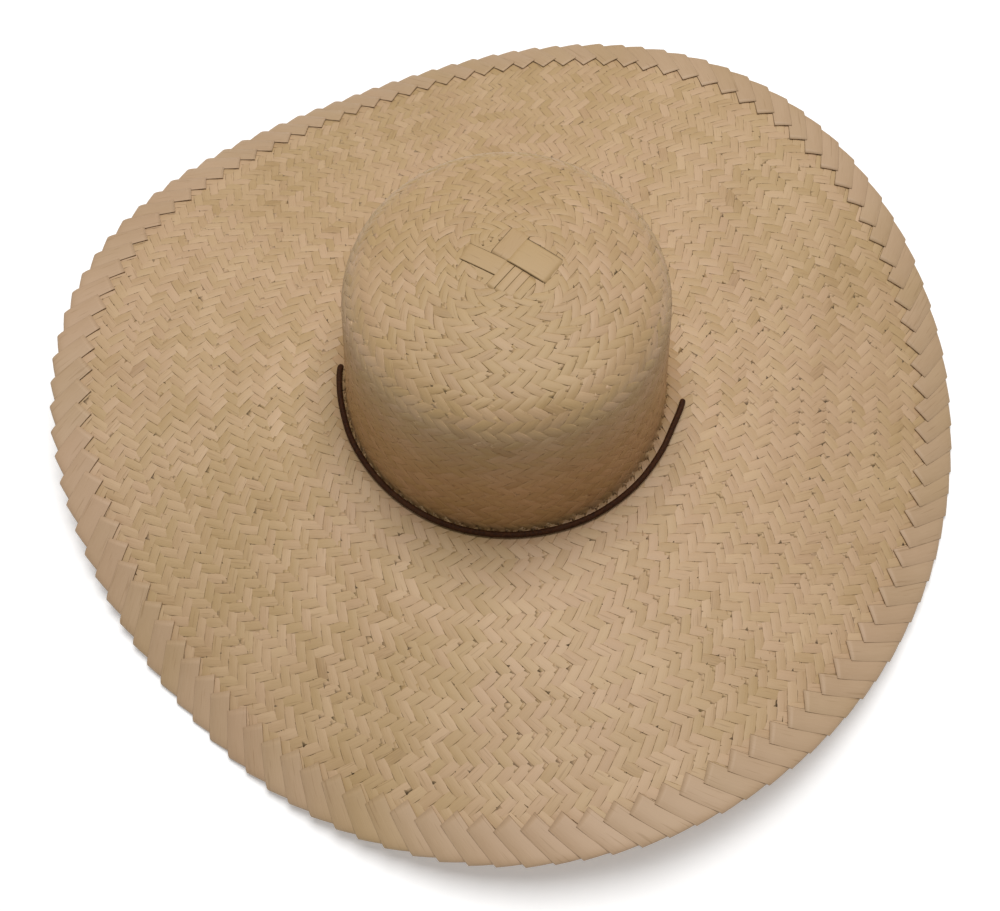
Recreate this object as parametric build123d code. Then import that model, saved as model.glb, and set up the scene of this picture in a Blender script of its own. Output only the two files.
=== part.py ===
from build123d import *
import os
from math import cos, pi, radians, sin, sqrt, tan

os.makedirs("parts", exist_ok=True)

# A woven palm-leaf sun hat that lies on its brim: an oval crown, a very wide wavy brim with a
# folded edge, and a chin cord that runs round the front of the crown, through a gap in the weave
# at each side, and lies in a loop under the brim, with a sliding bead and an end knot.
# Millimetres. +Z is up, the front of the hat looks along -Y, and +X is to the right as seen from
# the front. The origin is on the surface that the brim rests on, at the middle of the footprint.

# Driving dimensions: crown
FOOT_HALF_WIDTH = 89.5  # outside of the crown at its foot, across
FOOT_HALF_LENGTH = 94.0  # the same, front to back: the oval of a head
CROWN_HEIGHT = 108.0  # from the brim's upper face to the middle of the tip
CROWN_TAPER = 8.0  # how far the wall leans in by the shoulder
SHOULDER_RADIUS = 22.0  # rounding between wall and tip
DOME_RISE = 13.0  # how far the tip's middle stands over the shoulder
TIP_HALF_WIDTH = 56.0  # the tip is woven first, out to this half width
WALL_HEIGHT = 80.0  # from the foot to where the wall turns into the shoulder
WEAVE = 1.6  # thickness of the woven sheet: crossed layers of strips

# Driving dimensions: brim
BRIM_WIDTH = 167.5  # mean width, from the crown's foot to the outer edge
BRIM_DROOP = 16.5  # how far the edge hangs below the crown's foot, on average
WAVE_HEIGHT = 16.0  # the edge rises and falls this much about that
WAVE_COUNT = 3  # waves in one turn
WAVE_PEAK = 49.5  # degrees from +X towards +Y to the first high place
DROOP_POWER = 1.6  # above 1: the brim starts flat at the crown and bends more further out
EDGE_BAND = 16.0  # width of the folded edge
EDGE_THICKNESS = 2.6  # the folded edge is thicker than the single weave
# The brim isn't quite round: waves in one turn, size, degrees to the first wide place.
WIDTH_WAVES = [(1, 9.9, 60.5), (2, 2.9, 69.5), (3, 4.4, 46.9), (4, 2.7, -6.7)]
SECTION_STEP = 10  # degrees between the brim's radial sections
SECTION_PARTS = 4  # stretches that each radial section is drawn through

# Driving dimensions: chin cord
CORD = 3.2  # diameter
CORD_GAP = 5.0  # diameter of the gap that it is pushed through
BEAD_DIAMETER = 12.0
BEAD_LENGTH = 15.0
BEAD_BORE = 7.6  # both tails lie side by side in it
BEAD_ROUNDING = 2.0
BEAD_Y = 140.0  # where the bead's middle lies
KNOT_DIAMETER = 10.0
KNOT_Y = 96.0  # where the knot's middle lies
FLOOR_GAP = 0.4  # between the bead and the surface
BEND_SHARE = 0.45  # of the shorter run beside a bend: how much of it the bend may take up

# The crown's axis, from the middle of the footprint: the brim is wider at the back right.
CROWN_X = -1.5
CROWN_Y = -6.25

FOOT_Z = BRIM_DROOP + WAVE_HEIGHT + EDGE_THICKNESS  # upper face of the brim at the crown's foot

# The cord's route, in three stretches that meet end to end just under the brim.
# Round the front of the crown: up through the left gap, close along the wall, a little off it on
# the right, and down through the right gap.
FRONT_ROUTE = [
    (-93.9, 1.7, 28.0),
    (-93.9, 1.7, 37.3),
    (-94.4, -8.5, 37.2),
    (-92.2, -25.5, 37.0),
    (-84.4, -51.0, 36.9),
    (-63.0, -79.8, 36.8),
    (-32.6, -98.8, 36.8),
    (3.4, -104.2, 36.8),
    (38.6, -96.2, 36.8),
    (65.9, -77.0, 36.8),
    (82.2, -54.8, 36.9),
    (89.4, -38.4, 37.0),
    (94.2, -27.8, 37.2),
    (96.2, -21.2, 37.3),
    (96.2, -21.2, 28.0),
]
# The tails: straight out of the gap, down to the surface, round a wide loop behind the middle,
# then forwards side by side, through the bead to the knot.
LEFT_ROUTE = [
    (-93.9, 1.7, 28.0),
    (-93.9, 1.7, 20.5),
    (-97.6, 9.5, 8.5),
    (-105.0, 26.0, 1.8),
    (-116.0, 56.0, 1.7),
    (-121.0, 92.0, 1.7),
    (-113.0, 130.0, 1.7),
    (-89.0, 163.0, 1.7),
    (-54.0, 187.0, 1.7),
    (-18.0, 196.0, 2.0),
    (-1.8, 174.0, 6.4),
    (-1.8, 118.0, 6.4),
    (-2.2, 97.0, 5.4),
]
RIGHT_ROUTE = [
    (96.2, -21.2, 28.0),
    (96.2, -21.2, 20.5),
    (101.5, -13.8, 8.5),
    (111.0, 0.5, 1.8),
    (125.0, 30.0, 1.7),
    (132.0, 68.0, 1.7),
    (129.0, 108.0, 1.7),
    (113.0, 145.0, 1.7),
    (83.0, 175.0, 1.7),
    (47.0, 197.0, 1.7),
    (15.0, 199.0, 2.0),
    (1.8, 176.0, 6.4),
    (1.8, 118.0, 6.4),
    (2.2, 97.0, 5.4),
]


def crown_outline(inset):
    """The crown's section across the hat, solid, in the XZ plane, foot at height 0."""
    foot_x = FOOT_HALF_WIDTH - inset
    shoulder_x = foot_x - CROWN_TAPER
    shoulder_z = CROWN_HEIGHT - DOME_RISE - inset
    right, left = (shoulder_x, shoulder_z), (-shoulder_x, shoulder_z)
    outline = make_face(
        [
            Line((-foot_x, 0), (foot_x, 0)),
            Line((foot_x, 0), right),
            ThreePointArc(right, (0, CROWN_HEIGHT - inset), left),
            Line(left, (-foot_x, 0)),
        ]
    )
    return fillet(outline.vertices().sort_by(Axis.Y)[-2:], SHOULDER_RADIUS - inset)


def crown_part(keep):
    """The part of the crown's thin wall that lies inside the keep region, as an oval solid."""
    section = (crown_outline(0) - crown_outline(WEAVE)) & keep
    turned = revolve(Plane.XZ * section, Axis.Z)
    oval = scale(turned, by=(1, FOOT_HALF_LENGTH / FOOT_HALF_WIDTH, 1))
    return Pos(CROWN_X, CROWN_Y, FOOT_Z) * oval


def crown_tip():
    """The woven start: the domed middle of the top, out to its rim."""
    return crown_part(Rectangle(TIP_HALF_WIDTH, CROWN_HEIGHT, align=Align.MIN))


def crown_shoulder():
    """The rounded ring between the tip's rim and the wall."""
    wide = Rectangle(2 * FOOT_HALF_WIDTH, CROWN_HEIGHT, align=Align.MIN)
    return crown_part(Pos(TIP_HALF_WIDTH, WALL_HEIGHT) * wide)


def crown_wall():
    """The tapering wall, from the shoulder down to the foot."""
    return crown_part(Rectangle(2 * FOOT_HALF_WIDTH, WALL_HEIGHT, align=Align.MIN))


def foot_radius(angle):
    """Distance from the crown's axis to its oval foot, in a direction given in radians."""
    return 1 / sqrt((cos(angle) / FOOT_HALF_WIDTH) ** 2 + (sin(angle) / FOOT_HALF_LENGTH) ** 2)


def brim_width(angle):
    waves = [size * cos(count * (angle - radians(peak))) for count, size, peak in WIDTH_WAVES]
    return BRIM_WIDTH + sum(waves)


def edge_height(angle):
    """Height of the brim's outer edge over the crown's foot."""
    return WAVE_HEIGHT * cos(WAVE_COUNT * (angle - radians(WAVE_PEAK))) - BRIM_DROOP


def brim_point(angle, out, drop):
    """A point of the brim, out mm from the crown's foot and drop mm under the upper face."""
    radius = foot_radius(angle) + out
    bend = (max(out, 0) / brim_width(angle)) ** DROOP_POWER
    height = edge_height(angle) * bend - drop
    return Vector(CROWN_X + radius * cos(angle), CROWN_Y + radius * sin(angle), FOOT_Z + height)


def brim_section(angle, inner_out, outer_out, thickness):
    """One radial cut through a ring of the brim, as a closed wire."""
    stretch = (outer_out - inner_out) / SECTION_PARTS
    outs = [inner_out + stretch * step for step in range(SECTION_PARTS + 1)]
    upper = Spline([brim_point(angle, out, 0) for out in outs])
    lower = Spline([brim_point(angle, out, thickness) for out in outs])
    return Wire([upper, Line(upper @ 1, lower @ 1), lower, Line(upper @ 0, lower @ 0)])


def brim_ring(limits, thickness):
    """A closed ring of the brim; limits gives its inner and outer limit at an angle."""
    halves = []
    for start in (0, 180):
        angles = [radians(start + step) for step in range(0, 181, SECTION_STEP)]
        sections = [brim_section(angle, *limits(angle), thickness) for angle in angles]
        halves.append(Solid.make_loft(sections))
    return halves[0] + halves[1]


def brim():
    """The single weave, from under the crown's wall to the folded edge, with the cord's gaps."""
    ring = brim_ring(lambda angle: (-WEAVE, brim_width(angle) - EDGE_BAND), WEAVE)
    for x, y, z in (FRONT_ROUTE[0], FRONT_ROUTE[-1]):
        ring -= Pos(x, y, FOOT_Z) * Cylinder(CORD_GAP / 2, 4 * WEAVE)
    return ring


def brim_edge():
    """The folded band round the rim."""

    def limits(angle):
        return brim_width(angle) - EDGE_BAND, brim_width(angle)

    return brim_ring(limits, EDGE_THICKNESS)


def bend_radius(before, corner, after):
    """The largest arc that the two runs beside a corner leave room for."""
    arriving = Vector(*corner) - Vector(*before)
    leaving = Vector(*after) - Vector(*corner)
    half_turn = radians(arriving.get_angle(leaving)) / 2
    return BEND_SHARE * min(arriving.length, leaving.length) / tan(half_turn)


def cord(name, route):
    """A plain tube along the route: straight runs joined by tangent arcs."""
    radii = [bend_radius(*route[i - 1 : i + 2]) for i in range(1, len(route) - 1)]
    path = FilletPolyline(*route, radius=radii)
    section = Plane(origin=path @ 0, z_dir=path % 0) * Circle(CORD / 2)
    tube = sweep(section, path=path)
    expected = pi * CORD**2 / 4 * path.length
    print(name, "length", round(path.length), "volume ratio", round(tube.volume / expected, 4))
    print("  radii", [round(radius, 1) for radius in radii])
    return tube


def cord_slider():
    """The turned bead, a rounded barrel with a bore along Y, that both tails pass through."""
    plain = Cylinder(BEAD_DIAMETER / 2, BEAD_LENGTH)
    barrel = fillet(plain.edges().filter_by(GeomType.CIRCLE), BEAD_ROUNDING)
    bead = barrel - Cylinder(BEAD_BORE / 2, 2 * BEAD_LENGTH)
    return Pos(0, BEAD_Y, BEAD_DIAMETER / 2 + FLOOR_GAP) * Rot(90, 0, 0) * bead


def cord_end_knot(tails):
    """The knot that both tails end in, as a plain ball with the tails' ends let into it."""
    ball = Pos(0, KNOT_Y, KNOT_DIAMETER / 2) * Sphere(KNOT_DIAMETER / 2)
    return ball - tails


chin_cord_left = cord("chin_cord_left", LEFT_ROUTE)
chin_cord_right = cord("chin_cord_right", RIGHT_ROUTE)
nodes = {
    "crown_tip": crown_tip(),
    "crown_shoulder": crown_shoulder(),
    "crown_wall": crown_wall(),
    "brim": brim(),
    "brim_edge": brim_edge(),
    "chin_cord_front": cord("chin_cord_front", FRONT_ROUTE),
    "chin_cord_left": chin_cord_left,
    "chin_cord_right": chin_cord_right,
    "cord_slider": cord_slider(),
    "cord_end_knot": cord_end_knot([chin_cord_left, chin_cord_right]),
}
for name, solid in nodes.items():
    export_step(solid, f"parts/{name}.step")
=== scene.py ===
"""A woven palm-leaf sun hat: its looks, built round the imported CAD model. Z is up, the front is -Y.

The woven sheet is drawn as it looks in the real hat: flat strips that pass over and under each other
on the diagonal, in rings round the crown. Each stretch of a strip that shows, on either face, is a
closed mesh with its ends tucked under its neighbours.
"""

from math import cos, pi, radians, sin, sqrt

import bpy
import numpy as np
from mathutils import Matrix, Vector


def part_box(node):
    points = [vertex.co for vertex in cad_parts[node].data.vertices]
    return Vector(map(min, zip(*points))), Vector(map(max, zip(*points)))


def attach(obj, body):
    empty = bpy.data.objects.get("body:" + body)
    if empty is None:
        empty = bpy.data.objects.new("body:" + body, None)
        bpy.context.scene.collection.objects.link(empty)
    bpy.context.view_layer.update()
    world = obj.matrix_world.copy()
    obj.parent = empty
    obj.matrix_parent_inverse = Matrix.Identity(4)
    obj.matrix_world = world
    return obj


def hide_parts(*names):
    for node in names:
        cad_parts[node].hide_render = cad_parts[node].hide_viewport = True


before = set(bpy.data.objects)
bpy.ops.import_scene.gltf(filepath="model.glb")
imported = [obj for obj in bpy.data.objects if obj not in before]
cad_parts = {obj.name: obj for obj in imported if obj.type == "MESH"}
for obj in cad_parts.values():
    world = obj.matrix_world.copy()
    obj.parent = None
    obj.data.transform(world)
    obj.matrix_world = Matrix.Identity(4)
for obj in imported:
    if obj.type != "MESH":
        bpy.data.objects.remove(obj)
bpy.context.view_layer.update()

MM = 0.001
random = np.random.default_rng(31)

# The camera that was fitted to the photograph's outlines
CAMERA_PLACE = (-0.0048, -0.3482, 0.6096)
CAMERA_ANGLE = 63  # degrees above the horizon, from in front
CAMERA_LENS, CAMERA_SENSOR = 43.05, 36  # millimetres

# The light: one soft lamp above and a little behind, and a pale sky
LAMP_PLACE, LAMP_TARGET = (0.05, 0.28, 1.6), (0, 0, 0.05)
LAMP_SIZE, LAMP_WATTS = 1.0, 23.5
SKY_COLOUR, SKY_STRENGTH = (1, 0.99, 0.98, 1), 0.24
FLOOR_REACH = 3.0  # from the middle to each side
FLOOR_COLOUR, FLOOR_GLOW = (0.93, 0.93, 0.93, 1), 0.22

# The hat's own shape, as in part.py
FOOT_HALF_WIDTH, FOOT_HALF_LENGTH = 89.5, 94.0
CROWN_HEIGHT, CROWN_TAPER, SHOULDER_RADIUS, DOME_RISE = 108.0, 8.0, 22.0, 13.0
TIP_HALF_WIDTH, WALL_HEIGHT, WEAVE = 56.0, 80.0, 1.6
BRIM_WIDTH, BRIM_DROOP, DROOP_POWER = 167.5, 16.5, 1.6
WAVE_HEIGHT, WAVE_COUNT, WAVE_PEAK = 16.0, 3, 49.5
EDGE_BAND, EDGE_THICKNESS = 16.0, 2.6
WIDTH_WAVES = [(1, 9.9, 60.5), (2, 2.9, 69.5), (3, 4.4, 46.9), (4, 2.7, -6.7)]
CROWN_X, CROWN_Y = -1.5, -6.25
FOOT_Z = BRIM_DROOP + WAVE_HEIGHT + EDGE_THICKNESS
FOOT_MEAN = 1.025  # the oval's mean radius, as a share of its half width

# The cord's route, in three stretches, in metres
FRONT_ROUTE = [
    (-0.0939, 0.0017, 0.0280),
    (-0.0939, 0.0017, 0.0373),
    (-0.0944, -0.0085, 0.0372),
    (-0.0922, -0.0255, 0.0370),
    (-0.0844, -0.0510, 0.0369),
    (-0.0630, -0.0798, 0.0368),
    (-0.0326, -0.0988, 0.0368),
    (0.0034, -0.1042, 0.0368),
    (0.0386, -0.0962, 0.0368),
    (0.0659, -0.0770, 0.0368),
    (0.0822, -0.0548, 0.0369),
    (0.0894, -0.0384, 0.0370),
    (0.0942, -0.0278, 0.0372),
    (0.0962, -0.0212, 0.0373),
    (0.0962, -0.0212, 0.0280),
]
LEFT_ROUTE = [
    (-0.0939, 0.0017, 0.0280),
    (-0.0939, 0.0017, 0.0205),
    (-0.0976, 0.0095, 0.0085),
    (-0.1050, 0.0260, 0.0018),
    (-0.1160, 0.0560, 0.0017),
    (-0.1210, 0.0920, 0.0017),
    (-0.1130, 0.1300, 0.0017),
    (-0.0890, 0.1630, 0.0017),
    (-0.0540, 0.1870, 0.0017),
    (-0.0180, 0.1960, 0.0020),
    (-0.0018, 0.1740, 0.0064),
    (-0.0018, 0.1180, 0.0064),
    (-0.0022, 0.0970, 0.0054),
]
RIGHT_ROUTE = [
    (0.0962, -0.0212, 0.0280),
    (0.0962, -0.0212, 0.0205),
    (0.1015, -0.0138, 0.0085),
    (0.1110, 0.0005, 0.0018),
    (0.1250, 0.0300, 0.0017),
    (0.1320, 0.0680, 0.0017),
    (0.1290, 0.1080, 0.0017),
    (0.1130, 0.1450, 0.0017),
    (0.0830, 0.1750, 0.0017),
    (0.0470, 0.1970, 0.0017),
    (0.0150, 0.1990, 0.0020),
    (0.0018, 0.1760, 0.0064),
    (0.0018, 0.1180, 0.0064),
    (0.0022, 0.0970, 0.0054),
]
CORD = 0.0032  # diameter
KNOT_CORD = 0.46 * CORD  # radius in the knot, where the cord is pulled a little thinner
KNOT_HEIGHT = 0.55  # the knot is flatter than it is wide, by this share

# The weave
STRIP = 4.9  # width of a palm-leaf strip
STRIP_THICKNESS = 0.22
STRIP_BULGE = 0.08  # how far a strip's middle stands over its edges
SWING = 0.2  # how far a strip rises and falls as it passes over and under the others
STRIP_FILL = 1.08  # strips are this much wider than the room that they have, so that they close up
TUCK_RATE = 0.97  # under 1, a strip goes under its neighbours a little past the crossing's border
TWIST = 0.05  # how far one border of a strip lifts, and the other drops, towards its ends
PITCH = 6.9  # from one strip to the next along a ring
FACE_SLIP = 0.25  # a ring's strips are moved by this share of a pitch, each face's its own way
COUNT_STEP = 0.07  # a ring gets more strips only where the number would grow by this share
RING_TURN = 0.4  # radians from +X: the rings' places are read along this direction
PITCH_SPREAD, WIDE_PITCH = 0.12, 275  # strips are further apart on the side at this angle
START_RADIUS = 16.0  # the rings begin here, round the wide strips of the start
CROWN_RINGS, BRIM_RINGS = 28, 20
RING_GROWTH = 0.13  # rings are narrower than average at the tip by this share, wider at the foot
SQUARENESS, SQUARE_TURN, SQUARE_END = 0.11, 48, 66.0  # the first rings are nearly square
BEND_LENGTH = 4.0  # the corner at the crown's foot is rounded over this length on each side
BRIM_PIECES = [1, 6, 10, 14, 17, BRIM_RINGS]  # the brim is divided at these rings, to limit triangles

# How much single strips differ from the regular weave, each way
WIDTH_SPREAD, LENGTH_SPREAD = 0.02, 0.04  # shares of a strip's width and length
SIDE_SPREAD, END_SPREAD = 0.02, 0.05  # shares of the room across and along a strip
TILT_SPREAD, TWIST_SPREAD, LIFT_SPREAD = 0.03, 0.08, 0.04
GRAIN_SPREAD = 40  # each strip shows another part of the leaf's pattern, up to this far off
MIDDLE_SHADE, SHADE_SPREAD, HUES = 0.5, 0.15, (0, 1)  # as the straw material reads them
START_SHADES, START_HUES = (0.3, 0.6), (0, 0.7)

# The folded edge
EDGE_TEETH = 114  # folded strips round the rim
TOOTH_DEPTH = 2.4  # mean; they are deepest on the side at this angle, by this much more
DEEP_TEETH, TOOTH_SPREAD = 140, 1.6
UNDER_EDGE = 0.5  # the lower face's strips end this much further in than the upper teeth's depth
FOLD_START, FOLD_LENGTH = 0.8, 0.2  # the fold's roundness, as shares of the way to the outer edge
LAP_RISE, LAP_LEVEL = 0.12, 0.6  # a strip leans, to lap the next: how much, and about which place across
INNER_LIFT = 0.35  # how far a strip's inner end stands off the weave, over its first third
EDGE_END_SPREAD, EDGE_FOLD_SPREAD, EDGE_SIDE_SPREAD, EDGE_LIFT_SPREAD = 0.5, 0.25, 0.3, 0.02
EDGE_SHADE_SPREAD, EDGE_HUES = 0.05, (0.35, 0.75)

# Colours, linear. Each straw is a pale, a middle and a brown one.
BRIM_STRAW = [(0.545, 0.375, 0.215, 1), (0.445, 0.29, 0.147, 1), (0.25, 0.14, 0.056, 1)]
# Painted shade: the crown's straw is a darker, yellower copy of the brim's, for the crown's shade.
SHADED_CROWN_STRAW = [(0.475, 0.318, 0.172, 1), (0.385, 0.245, 0.118, 1), (0.22, 0.12, 0.046, 1)]
EDGE_STRAW = [(0.50, 0.348, 0.215, 1), (0.43, 0.285, 0.163, 1), (0.25, 0.14, 0.056, 1)]
ROSY_STRAW, GOLDEN_STRAW = (0.52, 0.335, 0.22, 1), (0.41, 0.275, 0.115, 1)
# Painted shade and bounced light: the crown's wall is made darker and browner towards its foot.
PAINTED_WALL_SHADE = (0.97, 0.78, 0.53, 1)  # what the crown's wall is multiplied by, towards its foot
PAINTED_SHADE_TOP, PAINTED_SHADE_FULL = 0.118, 0.075  # the heights where it begins and is full
CORD_DARK, CORD_LIGHT = (0.028, 0.009, 0.003, 1), (0.068, 0.023, 0.007, 1)
CORD_WORN = (0.09, 0.04, 0.017, 1)
WOOD_DARK, WOOD_LIGHT = (0.20, 0.085, 0.032, 1), (0.34, 0.16, 0.065, 1)
WOOD_GRAIN = (0.1, 0.04, 0.015, 1)


# ---------------------------------------------------------------- camera, light and floor


def make_camera():
    """The photograph's view of the hat."""
    data = bpy.data.cameras.new("camera")
    data.lens = CAMERA_LENS
    data.sensor_width = CAMERA_SENSOR
    camera = bpy.data.objects.new("camera", data)
    camera.location = CAMERA_PLACE
    camera.rotation_euler = (radians(90 - CAMERA_ANGLE), 0, 0)
    bpy.context.collection.objects.link(camera)
    bpy.context.scene.camera = camera


def make_lamp():
    data = bpy.data.lights.new("key", "AREA")
    data.size = LAMP_SIZE
    data.energy = LAMP_WATTS
    lamp = bpy.data.objects.new("key", data)
    lamp.location = LAMP_PLACE
    aim = Vector(LAMP_TARGET) - lamp.location
    lamp.rotation_euler = aim.to_track_quat("-Z", "Y").to_euler()
    bpy.context.collection.objects.link(lamp)


def make_sky():
    """The world's even light. The Standard view keeps the colours as they are set."""
    world = bpy.data.worlds.new("studio")
    world.use_nodes = True
    background = world.node_tree.nodes["Background"]
    background.inputs["Color"].default_value = SKY_COLOUR
    background.inputs["Strength"].default_value = SKY_STRENGTH
    bpy.context.scene.world = world
    bpy.context.scene.view_settings.view_transform = "Standard"


def make_floor():
    """A matt white floor that glows a little, so that it stays nearly as white as the photograph."""
    mesh = bpy.data.meshes.new("floor")
    reach = FLOOR_REACH
    corners = [(-reach, -reach, 0), (reach, -reach, 0), (reach, reach, 0), (-reach, reach, 0)]
    mesh.from_pydata(corners, [], [(0, 1, 2, 3)])
    floor = bpy.data.objects.new("floor", mesh)
    bpy.context.collection.objects.link(floor)
    material = bpy.data.materials.new("floor")
    material.use_nodes = True
    shader = material.node_tree.nodes["Principled BSDF"]
    shader.inputs["Base Color"].default_value = FLOOR_COLOUR
    shader.inputs["Roughness"].default_value = 0.9
    shader.inputs["Emission Color"].default_value = (1, 1, 1, 1)
    shader.inputs["Emission Strength"].default_value = FLOOR_GLOW
    mesh.materials.append(material)


# ---------------------------------------------------------------- materials


class Nodes:
    """Short words for building a material's node tree."""

    def __init__(self, name):
        self.material = bpy.data.materials.new(name)
        self.material.use_nodes = True
        self.tree = self.material.node_tree
        self.shader = self.tree.nodes["Principled BSDF"]

    def add(self, kind, settings=(), **inputs):
        node = self.tree.nodes.new(kind)
        for key, value in settings:
            setattr(node, key, value)
        for key, value in inputs.items():
            self.put(node.inputs[key.replace("_", " ")], value)
        return node

    def put(self, socket, value):
        if isinstance(value, bpy.types.NodeSocket):
            self.tree.links.new(value, socket)
        else:
            socket.default_value = value

    def math(self, operation, *values):
        node = self.tree.nodes.new("ShaderNodeMath")
        node.operation = operation
        for socket, value in zip(node.inputs, values):
            self.put(socket, value)
        return node.outputs[0]

    def mix(self, factor, a, b, blend="MIX"):
        node = self.tree.nodes.new("ShaderNodeMix")
        node.data_type = "RGBA"
        node.blend_type = blend
        self.put(node.inputs[0], factor)
        self.put(node.inputs[6], a)
        self.put(node.inputs[7], b)
        return node.outputs[2]

    def stretch(self, vector, scale):
        return self.add("ShaderNodeMapping", Vector=vector, Scale=scale).outputs[0]

    def noise(self, vector, scale, detail):
        node = self.add("ShaderNodeTexNoise", Vector=vector, Scale=scale, Detail=detail)
        return node.outputs["Fac"]

    def swing(self, noise, size):
        """A noise of 0 to 1 as a number that goes half of size either way from 0."""
        return self.math("MULTIPLY", self.math("SUBTRACT", noise, 0.5), size)

    def ramp(self, value, low, high):
        """0 at low and 1 at high, and even between them. Low may be the larger."""
        node = self.tree.nodes.new("ShaderNodeMapRange")
        for key, setting in (("Value", value), ("From Min", low), ("From Max", high)):
            self.put(node.inputs[key], setting)
        return node.outputs[0]


def straw_material(name, colours, painted_wall_shade=0.0):
    """Split palm leaf: fine fibres along the strip, each strip a little paler, browner or rosier.

    The strip attribute holds millimetres across and along the strip, and a number of its own. The
    tone attribute holds its shade and hue. The painted wall shade makes the crown darker and browner
    towards its foot, as painted shade and warm bounced light."""
    pale, middle, brown = colours
    fibre_scale, crack_scale = (2.6, 0.12, 40), (1.1, 0.05, 70)
    n = Nodes(name)
    strip = n.add("ShaderNodeAttribute", [("attribute_name", "strip")]).outputs["Vector"]
    tone = n.add("ShaderNodeAttribute", [("attribute_name", "tone")]).outputs["Vector"]
    parts = n.add("ShaderNodeSeparateXYZ", Vector=tone)
    place = n.add("ShaderNodeTexCoord").outputs["Object"]
    fibres = n.noise(n.stretch(strip, fibre_scale), 1.0, 4)
    cracks = n.noise(n.stretch(strip, crack_scale), 1.0, 2)
    patches = n.noise(place, 22, 3)
    clouds = n.noise(place, 9, 2)
    # The shade goes from brown through middle to pale.
    shade = n.math("ADD", parts.outputs[0], n.swing(fibres, 0.9))
    shade = n.math("ADD", shade, n.swing(patches, 1.0))
    colour = n.mix(n.ramp(shade, 0.1, 0.9), middle, pale)
    colour = n.mix(n.ramp(shade, 0.12, -0.45), colour, brown)
    # The hue turns some strips rosy and others golden.
    hue = n.math("ADD", parts.outputs[1], n.swing(clouds, 2.0))
    rosy = n.ramp(hue, 0.5, 1.05)
    colour = n.mix(n.math("MULTIPLY", rosy, 0.35), colour, ROSY_STRAW)
    golden = n.ramp(hue, 0.5, -0.05)
    colour = n.mix(n.math("MULTIPLY", golden, 0.5), colour, GOLDEN_STRAW)
    # A few dark lines run along the fibres.
    line = n.ramp(cracks, 0.36, 0.30)
    colour = n.mix(n.math("MULTIPLY", line, 0.35), colour, brown)
    # Painted shade: the wall is darker and browner towards its foot, for its shade and the warm light
    # bounced off the brim.
    if painted_wall_shade:
        height = n.add("ShaderNodeSeparateXYZ", Vector=place).outputs[2]
        low = n.ramp(height, PAINTED_SHADE_TOP, PAINTED_SHADE_FULL)
        colour = n.mix(n.math("MULTIPLY", low, painted_wall_shade), colour, PAINTED_WALL_SHADE, "MULTIPLY")
    bump = n.add("ShaderNodeBump", Strength=0.35, Distance=0.00025, Height=fibres)
    n.put(n.shader.inputs["Base Color"], colour)
    n.put(n.shader.inputs["Normal"], bump.outputs[0])
    n.put(n.shader.inputs["Roughness"], n.math("ADD", 0.42, n.math("MULTIPLY", fibres, 0.25)))
    n.shader.inputs["Specular IOR Level"].default_value = 0.42
    return n.material


def cord_material():
    """Dark brown waxed cord."""
    n = Nodes("dark_cord")
    place = n.add("ShaderNodeTexCoord").outputs["Object"]
    grain = n.noise(place, 900, 3)
    wear = n.noise(place, 60, 2)
    colour = n.mix(n.ramp(grain, 0.35, 0.7), CORD_DARK, CORD_LIGHT)
    colour = n.mix(n.math("MULTIPLY", n.ramp(wear, 0.5, 0.8), 0.4), colour, CORD_WORN)
    bump = n.add("ShaderNodeBump", Strength=0.5, Distance=0.0002, Height=grain)
    n.put(n.shader.inputs["Base Color"], colour)
    n.put(n.shader.inputs["Normal"], bump.outputs[0])
    n.put(n.shader.inputs["Roughness"], n.math("ADD", 0.5, n.math("MULTIPLY", grain, 0.3)))
    n.shader.inputs["Specular IOR Level"].default_value = 0.12
    return n.material


def wood_material():
    """The bead: turned wood with its grain along the bore."""
    n = Nodes("bead_wood")
    place = n.add("ShaderNodeTexCoord").outputs["Object"]
    grain_scale, ring_scale = (700, 60, 700), (220, 15, 220)
    grain = n.noise(n.stretch(place, grain_scale), 1.0, 4)
    rings = n.noise(n.stretch(place, ring_scale), 1.0, 2)
    colour = n.mix(n.ramp(rings, 0.3, 0.7), WOOD_DARK, WOOD_LIGHT)
    colour = n.mix(n.math("MULTIPLY", n.ramp(grain, 0.5, 0.75), 0.6), colour, WOOD_GRAIN)
    bump = n.add("ShaderNodeBump", Strength=0.3, Distance=0.0001, Height=grain)
    n.put(n.shader.inputs["Base Color"], colour)
    n.put(n.shader.inputs["Normal"], bump.outputs[0])
    n.put(n.shader.inputs["Roughness"], n.math("ADD", 0.3, n.math("MULTIPLY", grain, 0.25)))
    return n.material


# ---------------------------------------------------------------- the chin cord


def cord(name, points, material):
    """A smooth cord through the given points."""
    data = bpy.data.curves.new(name, "CURVE")
    data.dimensions = "3D"
    data.bevel_depth = CORD / 2
    data.bevel_resolution = 5
    data.use_fill_caps = True
    spline = data.splines.new("NURBS")
    spline.points.add(len(points) - 1)
    for place, point in zip(points, spline.points):
        point.co = (*place, 1)
    spline.order_u = 3
    spline.use_endpoint_u = True
    spline.resolution_u = 10
    data.materials.append(material)
    piece = bpy.data.objects.new(name, data)
    bpy.context.collection.objects.link(piece)
    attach(piece, "hat")
    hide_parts("chin_" + name)
    return piece


def knot_line(count):
    """A closed overhand knot's line, round the CAD knot's middle, in metres."""
    low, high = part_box("cord_end_knot")
    middle = [(a + b) / 2 for a, b in zip(low, high)]
    reach = (high[2] - low[2]) / 2 - CORD / 2
    t = np.linspace(0, 2 * pi, count, endpoint=False)
    across = (np.sin(t) + 2 * np.sin(2 * t)) / 3
    along = (np.cos(t) - 2 * np.cos(2 * t)) / 3
    up = -np.sin(3 * t) * KNOT_HEIGHT
    return np.stack([across, along, up], -1) * reach + middle


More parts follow.
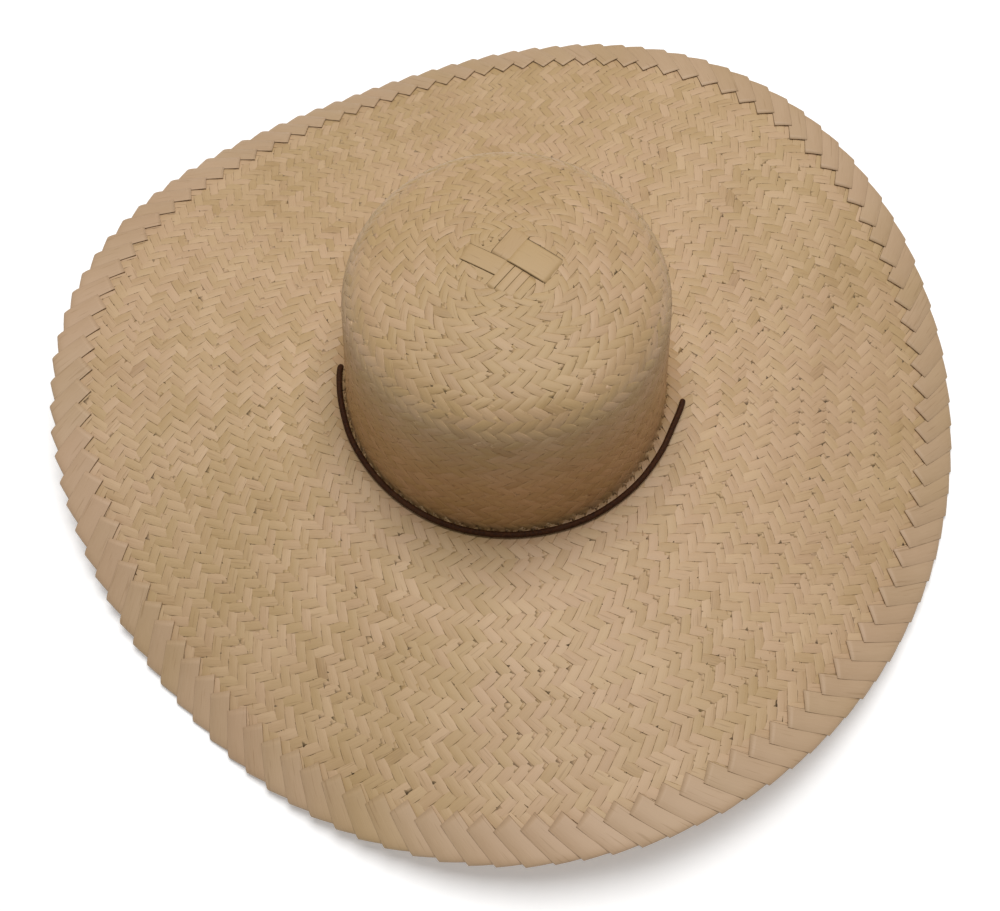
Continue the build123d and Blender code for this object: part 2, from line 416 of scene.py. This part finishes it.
def closed_tube(line, radius, sides):
    """Points and faces of a tube along a closed line."""
    count = len(line)
    ahead = np.roll(line, -1, 0) - np.roll(line, 1, 0)
    ahead /= np.linalg.norm(ahead, axis=1)[:, None]
    away = np.cross(ahead, line - line.mean(0))
    away /= np.linalg.norm(away, axis=1)[:, None]
    up = np.cross(ahead, away)
    turn = np.linspace(0, 2 * pi, sides, endpoint=False)
    ring = away[:, None] * np.cos(turn)[None, :, None] + up[:, None] * np.sin(turn)[None, :, None]
    points = (line[:, None] + radius * ring).reshape(-1, 3)
    i, j = np.meshgrid(np.arange(count), np.arange(sides), indexing="ij")
    i2, j2 = (i + 1) % count, (j + 1) % sides
    faces = np.stack([i * sides + j, i2 * sides + j, i2 * sides + j2, i * sides + j2], -1)
    return points, faces.reshape(-1, 4)


def make_knot(material):
    points_along, sides = 96, 12
    points, faces = closed_tube(knot_line(points_along), KNOT_CORD, sides)
    knot = mesh_piece("end_knot", points, faces, {}, material)
    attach(knot, "hat")
    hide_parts("cord_end_knot")
    return knot


def make_cords():
    dark = cord_material()
    front = cord("cord_front", FRONT_ROUTE, dark)
    left = cord("cord_left", LEFT_ROUTE, dark)
    right = cord("cord_right", RIGHT_ROUTE, dark)
    knot = make_knot(dark)
    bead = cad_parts["cord_slider"]
    bead.data.materials.clear()
    bead.data.materials.append(wood_material())


# ---------------------------------------------------------------- the woven surface


def brim_width(angle):
    waves = [size * np.cos(count * (angle - radians(peak))) for count, size, peak in WIDTH_WAVES]
    return BRIM_WIDTH + sum(waves)


def edge_height(angle):
    return WAVE_HEIGHT * np.cos(WAVE_COUNT * (angle - radians(WAVE_PEAK))) - BRIM_DROOP


def crown_section():
    """The outside of the hat's section across, from the tip's middle, with the brim laid flat.

    Gives even distances along it, the radius and height at each, with the foot's corner rounded,
    and last the distance to the foot."""
    dome_points, shoulder_points, step = 400, 200, 0.25
    past_brim = BRIM_WIDTH * 1.3  # further out than the brim's widest place
    shoulder_x, shoulder_z = FOOT_HALF_WIDTH - CROWN_TAPER, CROWN_HEIGHT - DOME_RISE
    dome_radius = (shoulder_x**2 + DOME_RISE**2) / (2 * DOME_RISE)
    dome_middle = np.array([0, CROWN_HEIGHT - dome_radius])
    foot = np.array([FOOT_HALF_WIDTH, 0])
    up = np.array([-CROWN_TAPER, shoulder_z]) / sqrt(CROWN_TAPER**2 + shoulder_z**2)
    inward = np.array([-up[1], up[0]])
    # The shoulder's centre is a shoulder radius inside both the wall and the dome.
    start = foot + SHOULDER_RADIUS * inward - dome_middle
    half = start @ up
    rise = -half + sqrt(half**2 - start @ start + (dome_radius - SHOULDER_RADIUS) ** 2)
    centre = dome_middle + start + rise * up
    dome_end = np.arctan2(*(centre - dome_middle))
    wall_end = np.arctan2(*-inward)
    dome = np.linspace(0, dome_end, dome_points)
    shoulder = np.linspace(dome_end, wall_end, shoulder_points)[1:]
    runs = [
        dome_middle + dome_radius * np.stack([np.sin(dome), np.cos(dome)], -1),
        centre + SHOULDER_RADIUS * np.stack([np.sin(shoulder), np.cos(shoulder)], -1),
        foot[None],
        foot[None] + (past_brim, 0),
    ]
    line = np.concatenate(runs)
    along = np.concatenate([[0], np.cumsum(np.linalg.norm(np.diff(line, axis=0), axis=1))])
    foot_at = along[-2]
    even = np.arange(0, along[-1], step)
    line = np.stack([np.interp(even, along, line[:, i]) for i in (0, 1)], -1)
    window = np.hanning(2 * int(BEND_LENGTH / step) + 1)
    window /= window.sum()
    near = np.abs(even - foot_at) < 2 * BEND_LENGTH
    for i in (0, 1):
        line[near, i] = np.convolve(line[:, i], window, "same")[near]
    return even, line[:, 0], line[:, 1], foot_at


SECTION_AT, SECTION_RADIUS, SECTION_HEIGHT, FOOT_AT = crown_section()


def ring_to_distance(turn, ring):
    """Distance along the section of a ring number, counted from the start and on to the brim."""
    share = ring / CROWN_RINGS
    crown = START_RADIUS + (FOOT_AT - START_RADIUS) * share * (1 + RING_GROWTH * (share - 1))
    square = SQUARENESS * np.cos(4 * (turn - radians(SQUARE_TURN)))
    crown = crown * (1 + square * np.clip(1 - crown / SQUARE_END, 0, 1))
    brim = FOOT_AT + (ring - CROWN_RINGS) * (brim_width(turn) - EDGE_BAND) / BRIM_RINGS
    return np.where(ring < CROWN_RINGS, crown, brim)


def turn_of(phase):
    """The real direction, seen from above, at an angle round the oval."""
    return np.arctan2(FOOT_HALF_LENGTH * np.sin(phase), FOOT_HALF_WIDTH * np.cos(phase))


def sheet_point(phase, distance):
    """A point of the sheet's outer face, at an angle round the oval and a distance from the tip."""
    turn = turn_of(phase)
    radius = np.interp(distance, SECTION_AT, SECTION_RADIUS)
    height = np.interp(distance, SECTION_AT, SECTION_HEIGHT)
    out = np.maximum(radius - FOOT_HALF_WIDTH, 0)
    inside = np.minimum(radius, FOOT_HALF_WIDTH)
    x = inside * np.cos(phase) + out * np.cos(turn)
    y = inside * np.sin(phase) * FOOT_HALF_LENGTH / FOOT_HALF_WIDTH + out * np.sin(turn)
    height = height + edge_height(turn) * (out / brim_width(turn)) ** DROOP_POWER
    return np.stack([CROWN_X + x, CROWN_Y + y, FOOT_Z + height], -1)


def lifted(phase, distance, height):
    """A point over the sheet's middle layer by this height, square to the sheet."""
    nudge, least_radius = 0.4, 1
    point = sheet_point(phase, distance)
    radius = np.maximum(np.interp(distance, SECTION_AT, SECTION_RADIUS), least_radius)
    along = sheet_point(phase + nudge / radius, distance) - point
    outward = sheet_point(phase, distance + nudge) - sheet_point(phase, distance - nudge)
    normal = np.cross(outward, along)
    normal /= np.linalg.norm(normal, axis=-1)[..., None]
    return point + normal * (height - WEAVE / 2)[..., None]


# ---------------------------------------------------------------- strips


def mesh_piece(name, points, faces, attributes, material):
    """A smooth mesh of four-sided faces, points in metres."""
    mesh = bpy.data.meshes.new(name)
    mesh.vertices.add(len(points))
    mesh.vertices.foreach_set("co", np.ascontiguousarray(points, "f").ravel())
    mesh.loops.add(faces.size)
    mesh.loops.foreach_set("vertex_index", np.ascontiguousarray(faces, "i").ravel())
    mesh.polygons.add(len(faces))
    mesh.polygons.foreach_set("loop_start", np.arange(0, faces.size, 4, dtype="i"))
    mesh.update(calc_edges=True)
    mesh.validate()
    mesh.polygons.foreach_set("use_smooth", np.ones(len(mesh.polygons), bool))
    for key, values in attributes.items():
        made = mesh.attributes.new(key, "FLOAT_VECTOR", "POINT")
        made.data.foreach_set("vector", np.ascontiguousarray(values, "f").ravel())
    mesh.materials.append(material)
    piece = bpy.data.objects.new(name, mesh)
    bpy.context.collection.objects.link(piece)
    return piece


# A strip's section: a flat upper face with rounded borders, and a keel below
ACROSS = np.array([-0.5, -0.43, 0, 0.43, 0.5, 0])
OVER = np.array([0, 0.5, 0.5, 0.5, 0, -0.5]) * STRIP_THICKNESS
BULGE = np.array([0, 0, 1, 0, 0, 0]) * STRIP_BULGE
# Places along a stretch, in strip widths: it crosses two strips, from -1 to 1, and goes under others
ALONG = np.array([-1.66, -1.3, -1.0, -0.6, 0, 0.6, 1.0, 1.3, 1.66])


def strip_faces(strips, stations, sides):
    """Faces of closed strips whose points go round the section, then on to the next station."""
    i, j = np.meshgrid(np.arange(stations - 1), np.arange(sides), indexing="ij")
    j2 = (j + 1) % sides
    walls = np.stack([i * sides + j, (i + 1) * sides + j, (i + 1) * sides + j2, i * sides + j2], -1)
    last = (stations - 1) * sides
    caps = np.array([[0, 1, 2, 5], [5, 2, 3, 4]])
    faces = np.concatenate([walls.reshape(-1, 4), caps, last + caps[:, ::-1]])
    return (faces[None] + (np.arange(strips) * stations * sides)[:, None, None]).reshape(-1, 4)


def own(count, spread):
    """A small number of its own for each strip."""
    return random.uniform(-spread, spread, count)[:, None, None]


def own_grain(count, across, along):
    """The strip attribute: millimetres across and along, moved about for each strip, and its number."""
    shift = own(count, GRAIN_SPREAD)
    return np.stack([across + shift, along + 2 * shift, 0 * across + own(count, 1)], -1)


def own_tones(count, across, shade_spread, hues):
    """The tone attribute: a shade and a hue for each strip, at all of its points."""
    shade = np.clip(random.normal(MIDDLE_SHADE, shade_spread, count), 0, 1)[:, None, None]
    hue = random.uniform(*hues, count)[:, None, None]
    return np.stack([0 * across + shade, 0 * across + hue, 0 * across + 0 * hue], -1)


def flat_rows(points, strip, tone):
    """The same, as plain lists of three numbers for each point."""
    return points.reshape(-1, 3), strip.reshape(-1, 3), tone.reshape(-1, 3)


def weave_floats(phase, ring, pitch, lean, side):
    """The visible stretches of the strips: each passes over two others, and its ends dip under.

    One entry for each stretch: its middle's angle round the oval, its ring, the angle from one to
    the next, which way it leans, and 1 on the outer face or -1 on the inner one."""
    count = len(phase)
    phase, ring, pitch = phase[:, None, None], ring[:, None, None], pitch[:, None, None]
    lean, side = lean[:, None, None], side[:, None, None]
    across = ACROSS[None, None] * (STRIP_FILL + own(count, WIDTH_SPREAD))
    along = ALONG[None, :, None] * (1 + own(count, LENGTH_SPREAD)) + 0 * across
    across = across + 0 * along
    tilt = own(count, TILT_SPREAD)
    sideways, lengthways = across - along * tilt, along + across * tilt
    sideways = sideways + own(count, SIDE_SPREAD)
    lengthways = lengthways + own(count, END_SPREAD)
    # Strips lie on the diagonal, so half of each counts round the ring and half from ring to ring.
    angle = phase + (sideways + lean * lengthways) / 2 * pitch
    angle = angle + PITCH_SPREAD * np.sin(angle - radians(WIDE_PITCH))
    distance = ring_to_distance(turn_of(angle), ring + (lengthways - lean * sideways) / 2)
    twist = own(count, TWIST_SPREAD) + TWIST
    swing = SWING * np.cos(along * pi / 2 * TUCK_RATE) + own(count, LIFT_SPREAD)
    height = side * (swing + lean * twist * across * along + OVER + BULGE)
    points = lifted(angle, distance, height) * MM
    strip = own_grain(count, across * STRIP, along * STRIP)
    tone = own_tones(count, across, SHADE_SPREAD, HUES)
    points, strip, tone = flat_rows(points, strip, tone)
    return points, strip_faces(count, len(ALONG), len(ACROSS)), strip, tone


def ring_counts():
    """How many strips each ring has on a face: the same for a few rings, then more."""
    counts = []
    for ring in range(CROWN_RINGS + BRIM_RINGS):
        outside = ring_to_distance(np.array(RING_TURN), ring + 1.0)
        radius = np.interp(outside, SECTION_AT, SECTION_RADIUS) * FOOT_MEAN
        fitting = round(2 * pi * radius / PITCH)
        if counts and (abs(fitting - counts[-1]) < COUNT_STEP * fitting or ring % 2):
            fitting = counts[-1]
        counts.append(fitting)
    return counts


RING_COUNTS = ring_counts()


def rings_of_floats(first, last):
    """Both faces of the rings from first up to last, as inputs for weave_floats."""
    rows = []
    for ring in range(first, last):
        count = RING_COUNTS[ring]
        places = np.arange(count)
        lean = 1 if ring % 2 else -1
        for side in (1, -1):
            slip = FACE_SLIP * lean * side
            angle = 2 * pi * (places + slip) / count
            rows.append(
                np.stack([angle, np.full(count, ring + 0.5), np.full(count, 2 * pi / count),
                          np.full(count, lean * side), np.full(count, side)], -1)
            )
    return np.concatenate(rows).T


def woven_piece(name, first, last, node, material):
    """The rings from first up to last as a piece."""
    points, faces, strip, tone = weave_floats(*rings_of_floats(first, last))
    finished(name, points, faces, strip, tone, node, material, "palm_leaf")


def finished(name, points, faces, strip, tone, node, material, slot):
    """A set of strips as a piece that rides on the hat and stands for a CAD node."""
    piece = mesh_piece(name, points, faces, {"strip": strip, "tone": tone}, material)
    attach(piece, "hat")
    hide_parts(node)


# ---------------------------------------------------------------- the folded edge


# A folded strip's points: across it, as shares of its width, with the lapped border past 1, and
# from its inner end, 0, to the fold, 1
EDGE_ACROSS = np.array([0, 0.02, 0.55, 1.1, 1.14, 0.55])
EDGE_ALONG = np.array([0, 0.12, 0.3, 0.5, 0.68, 0.8, 0.86, 0.91, 0.95, 0.98, 1])


def edge_strips(side):
    """Wide strips round the rim, each lapping the next, on the slant and folded at the outer edge."""
    count = EDGE_TEETH
    number = np.arange(count)[:, None, None]
    across = EDGE_ACROSS[None, None] + 0 * EDGE_ALONG[None, :, None]
    along = EDGE_ALONG[None, :, None] + 0 * across
    pitch = 2 * pi / count
    middle_radius = FOOT_HALF_WIDTH + BRIM_WIDTH
    step = pitch * middle_radius
    # How far out each point lies in the band: the inner end is cut on the slant, and the outer
    # one makes a tooth.
    inner = -across * step / 2 + own(count, EDGE_END_SPREAD)
    depth = TOOTH_DEPTH + TOOTH_SPREAD * np.cos(number * pitch - radians(DEEP_TEETH))
    tooth = depth * across / (1 + depth / step) if side > 0 else depth + UNDER_EDGE
    outer = EDGE_BAND - tooth + own(count, EDGE_FOLD_SPREAD)
    out = inner + (outer - inner) * along
    x = side * (across * step / 2 + out - inner) + own(count, EDGE_SIDE_SPREAD)
    angle = number * pitch + x / middle_radius
    distance = FOOT_AT + brim_width(turn_of(angle)) - EDGE_BAND + out
    half = EDGE_THICKNESS / 2
    fold = np.clip((along - FOLD_START) / FOLD_LENGTH, 0, 1)
    rise = half * np.sqrt(np.clip(1 - fold**2, 0, 1)) + LAP_RISE * (1 - fold) * (LAP_LEVEL - across)
    rise = rise + INNER_LIFT * np.clip(1 - 3 * along, 0, 1)
    height = side * (rise + own(count, EDGE_LIFT_SPREAD) + OVER + BULGE) + WEAVE / 2 - half
    points = lifted(angle, distance, height) * MM
    width, length = step / sqrt(2), EDGE_BAND * sqrt(2)
    strip = own_grain(count, across * width, along * length)
    tone = own_tones(count, across, EDGE_SHADE_SPREAD, EDGE_HUES)
    points, strip, tone = flat_rows(points, strip, tone)
    return points, strip_faces(count, len(EDGE_ALONG), len(EDGE_ACROSS)), strip, tone


def joined(parts):
    """Several sets of strips as one."""
    points, faces, strips, tones = zip(*parts)
    starts = np.cumsum([0] + [len(p) for p in points[:-1]])
    return (np.concatenate(points), np.concatenate([f + s for f, s in zip(faces, starts)]),
            np.concatenate(strips), np.concatenate(tones))


def make_edge(material):
    parts = joined([edge_strips(1), edge_strips(-1)])
    finished("folded_edge", *parts, "brim_edge", material, "palm_leaf_edge")


# ---------------------------------------------------------------- the start at the tip

# The wide strips of the start: the middle's x and y from the tip's middle, the
# heading in degrees, the length, the width and how high the strip lies, in millimetres
START_STRIPS = [
    (0.0, 0.0, 20, 40, 36.0, 0.05),
    (2.0, 11.0, 55, 20, 10.5, 0.35),
    (-3.0, -7.5, 232, 18, 4.6, 0.30),
    (0.9, -10.1, 232, 18, 4.6, 0.36),
    (4.6, -12.7, 232, 17, 4.6, 0.28),
    (8.3, -15.3, 232, 15, 4.6, 0.32),
    (-11.5, 1.6, 149, 24, 10.5, 0.48),
    (13.6, 1.0, -35, 24, 17.0, 0.62),
]
START_STATIONS = 9
START_TUCK, START_TUCK_LENGTH = 0.7, 0.3  # shares of a strip's half length: its ends go down here
LEAST_REACH = 0.5  # no point is nearer the tip's middle, where the surface has no direction round it


def start_strip(x, y, heading, length, width, layer, side):
    """One wide flat strip of the woven start, on the outer face (side 1) or the inner one (-1)."""
    across = ACROSS[None] + np.zeros((START_STATIONS, 1))
    along = np.linspace(-0.5, 0.5, START_STATIONS)[:, None] + 0 * across
    c, s = cos(radians(heading)), sin(radians(heading))
    px = x + along * length * c - across * width * s
    py = y + along * length * s + across * width * c
    end = np.abs(along) * 2
    tuck = np.clip((end - START_TUCK) / START_TUCK_LENGTH, 0, 1) ** 2
    height = side * (layer * (1 - tuck) + OVER + BULGE)
    squeezed = py * FOOT_HALF_WIDTH / FOOT_HALF_LENGTH
    reach = np.maximum(np.hypot(px, squeezed), LEAST_REACH)
    points = lifted(np.arctan2(squeezed, px), reach, height) * MM
    shift = random.uniform(-GRAIN_SPREAD, GRAIN_SPREAD)
    number = 0 * across + shift / GRAIN_SPREAD
    strip = np.stack([across * width + shift, along * length - shift, number], -1)
    shade = 0 * across + random.uniform(*START_SHADES)
    hue = 0 * across + random.uniform(*START_HUES)
    tone = np.stack([shade, hue, 0 * across], -1)
    points, strip, tone = flat_rows(points, strip, tone)
    return points, strip_faces(1, START_STATIONS, len(ACROSS)), strip, tone


def make_tip(material, rings):
    weave = weave_floats(*rings_of_floats(0, rings))
    starts = [start_strip(*row, side) for row in START_STRIPS for side in (1, -1)]
    finished("woven_tip", *joined([weave, *starts]), "crown_tip", material, "palm_leaf")


# ---------------------------------------------------------------- the hat


def make_crown(straw):
    """The crown's pieces. Where its CAD nodes meet, they are divided at the next whole ring."""
    ring_starts = ring_to_distance(np.array(RING_TURN), np.arange(CROWN_RINGS))
    wall_at = np.interp(-WALL_HEIGHT, -SECTION_HEIGHT, SECTION_AT)
    shoulder, wall = np.searchsorted(ring_starts, [TIP_HALF_WIDTH, wall_at])
    half_way = (wall + CROWN_RINGS) // 2
    make_tip(straw, shoulder)
    woven_piece("woven_shoulder", shoulder, wall, "crown_shoulder", straw)
    woven_piece("woven_wall_1", wall, half_way, "crown_wall", straw)
    woven_piece("woven_wall_2", half_way, CROWN_RINGS, "crown_wall", straw)


def make_brim(straw):
    for number, (first, last) in enumerate(zip(BRIM_PIECES, BRIM_PIECES[1:]), 1):
        woven_piece(f"woven_brim_{number}", CROWN_RINGS + first, CROWN_RINGS + last, "brim", straw)


def make_hat():
    make_crown(straw_material("palm_leaf_crown_shaded", SHADED_CROWN_STRAW, painted_wall_shade=0.75))
    # Painted shade: the brim's first ring, round the crown's foot, takes the crown's darker straw and a
    # weaker share of the wall's painted shade, for the shade where brim and crown meet.
    shaded_foot_straw = straw_material("palm_leaf_foot_shaded", SHADED_CROWN_STRAW, painted_wall_shade=0.3)
    woven_piece("woven_foot", CROWN_RINGS, CROWN_RINGS + BRIM_PIECES[0], "brim", shaded_foot_straw)
    make_brim(straw_material("palm_leaf", BRIM_STRAW))
    make_edge(straw_material("palm_leaf_edge", EDGE_STRAW))


make_camera()
make_lamp()
make_sky()
make_floor()
make_cords()
make_hat()
